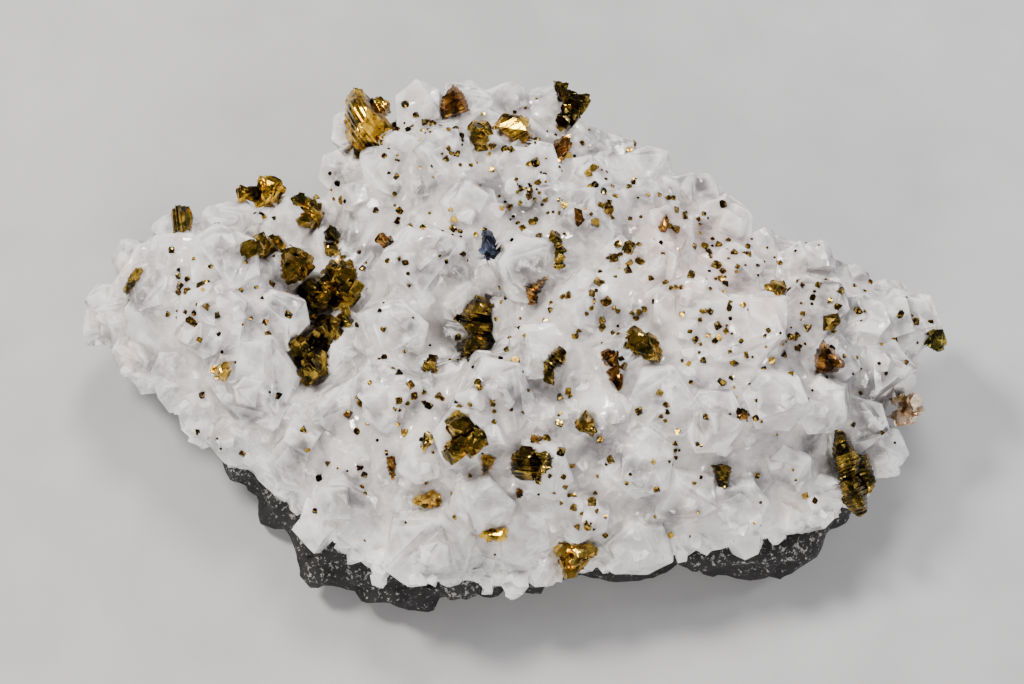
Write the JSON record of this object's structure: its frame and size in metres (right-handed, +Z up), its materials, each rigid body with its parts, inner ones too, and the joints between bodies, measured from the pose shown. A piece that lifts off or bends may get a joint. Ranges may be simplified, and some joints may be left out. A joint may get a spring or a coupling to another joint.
{
  "type": "chalcopyrite specimen on calcite",
  "caption": "Cabinet mineral specimen: a crust of intergrown pale calcite crystals studded with brassy chalcopyrite, lying on the flat back of its dark rock matrix.",
  "frame": {"origin": "on the flat underside of the matrix, below the middle of the plate", "axes": "+X along the plate's long side, +Y away from the viewer of the picture, +Z up out of the crystals"},
  "size_m": [0.1804, 0.1138, 0.0534],
  "materials": {
    "calcite": "translucent white to colourless crystals, glassy to frosted faces",
    "dark_rock": "rough broken dark rock with pale specks",
    "chalcopyrite": "striated brassy crystals with brown and green tarnish",
    "grey_sulphide": "dull slate-grey metallic crystal"
  },
  "bodies": {
    "root": {"calcite": "calcite", "chalcopyrite_arrow_lower_middle": "chalcopyrite", "chalcopyrite_barrel_left_lobe": "chalcopyrite", "chalcopyrite_bead_valley_left": "chalcopyrite", "chalcopyrite_bead_valley_right": "chalcopyrite", "chalcopyrite_bean_upper_middle": "chalcopyrite", "chalcopyrite_blade_valley": "chalcopyrite", "chalcopyrite_boot_lower_middle": "chalcopyrite", "chalcopyrite_bud_valley_top": "chalcopyrite", "chalcopyrite_button_right": "chalcopyrite", "chalcopyrite_cap_lower": "chalcopyrite", "chalcopyrite_chisel_lower_left": "chalcopyrite", "chalcopyrite_claw_lower_right": "chalcopyrite", "chalcopyrite_comma_upper_middle": "chalcopyrite", "chalcopyrite_crescent_middle": "chalcopyrite", "chalcopyrite_crumbs_lower": "chalcopyrite", "chalcopyrite_dark_cluster_crown": "chalcopyrite", "chalcopyrite_double_hollow": "chalcopyrite", "chalcopyrite_drop_upper_right": "chalcopyrite", "chalcopyrite_fang_lower_left": "chalcopyrite", "chalcopyrite_gable_lower_left": "chalcopyrite", "chalcopyrite_heart_lower_edge": "chalcopyrite", "chalcopyrite_hook_left_lobe": "chalcopyrite", "chalcopyrite_knob_left_lobe": "chalcopyrite", "chalcopyrite_knot_right_tip": "chalcopyrite", "chalcopyrite_leaf_middle_right": "chalcopyrite", "chalcopyrite_mass_valley": "chalcopyrite", "chalcopyrite_nail_lower_middle": "chalcopyrite", "chalcopyrite_nugget_left_lobe": "chalcopyrite", "chalcopyrite_nut_lower_right": "chalcopyrite", "chalcopyrite_oval_crown_right": "chalcopyrite", "chalcopyrite_pale_nugget_right_edge": "chalcopyrite", "chalcopyrite_pillar_right_edge": "chalcopyrite", "chalcopyrite_plate_right": "chalcopyrite", "chalcopyrite_pyramid_right": "chalcopyrite", "chalcopyrite_ribbed_pair_lower": "chalcopyrite", "chalcopyrite_rind_left_edge": "chalcopyrite", "chalcopyrite_seed_lower": "chalcopyrite", "chalcopyrite_slab_centre": "chalcopyrite", "chalcopyrite_sliver_left_lobe": "chalcopyrite", "chalcopyrite_spark_left_lobe": "chalcopyrite", "chalcopyrite_spur_valley_foot": "chalcopyrite", "chalcopyrite_striped_block_crown": "chalcopyrite", "chalcopyrite_tent_lower_right": "chalcopyrite", "chalcopyrite_thorn_hollow": "chalcopyrite", "chalcopyrite_tooth_crown": "chalcopyrite", "chalcopyrite_trefoil_lower_left": "chalcopyrite", "chalcopyrite_triangle_crown": "chalcopyrite", "chalcopyrite_wedge_crown_left": "chalcopyrite", "grey_sulphide_middle": "grey_sulphide", "matrix": "dark_rock"}
  },
  "joints": []
}
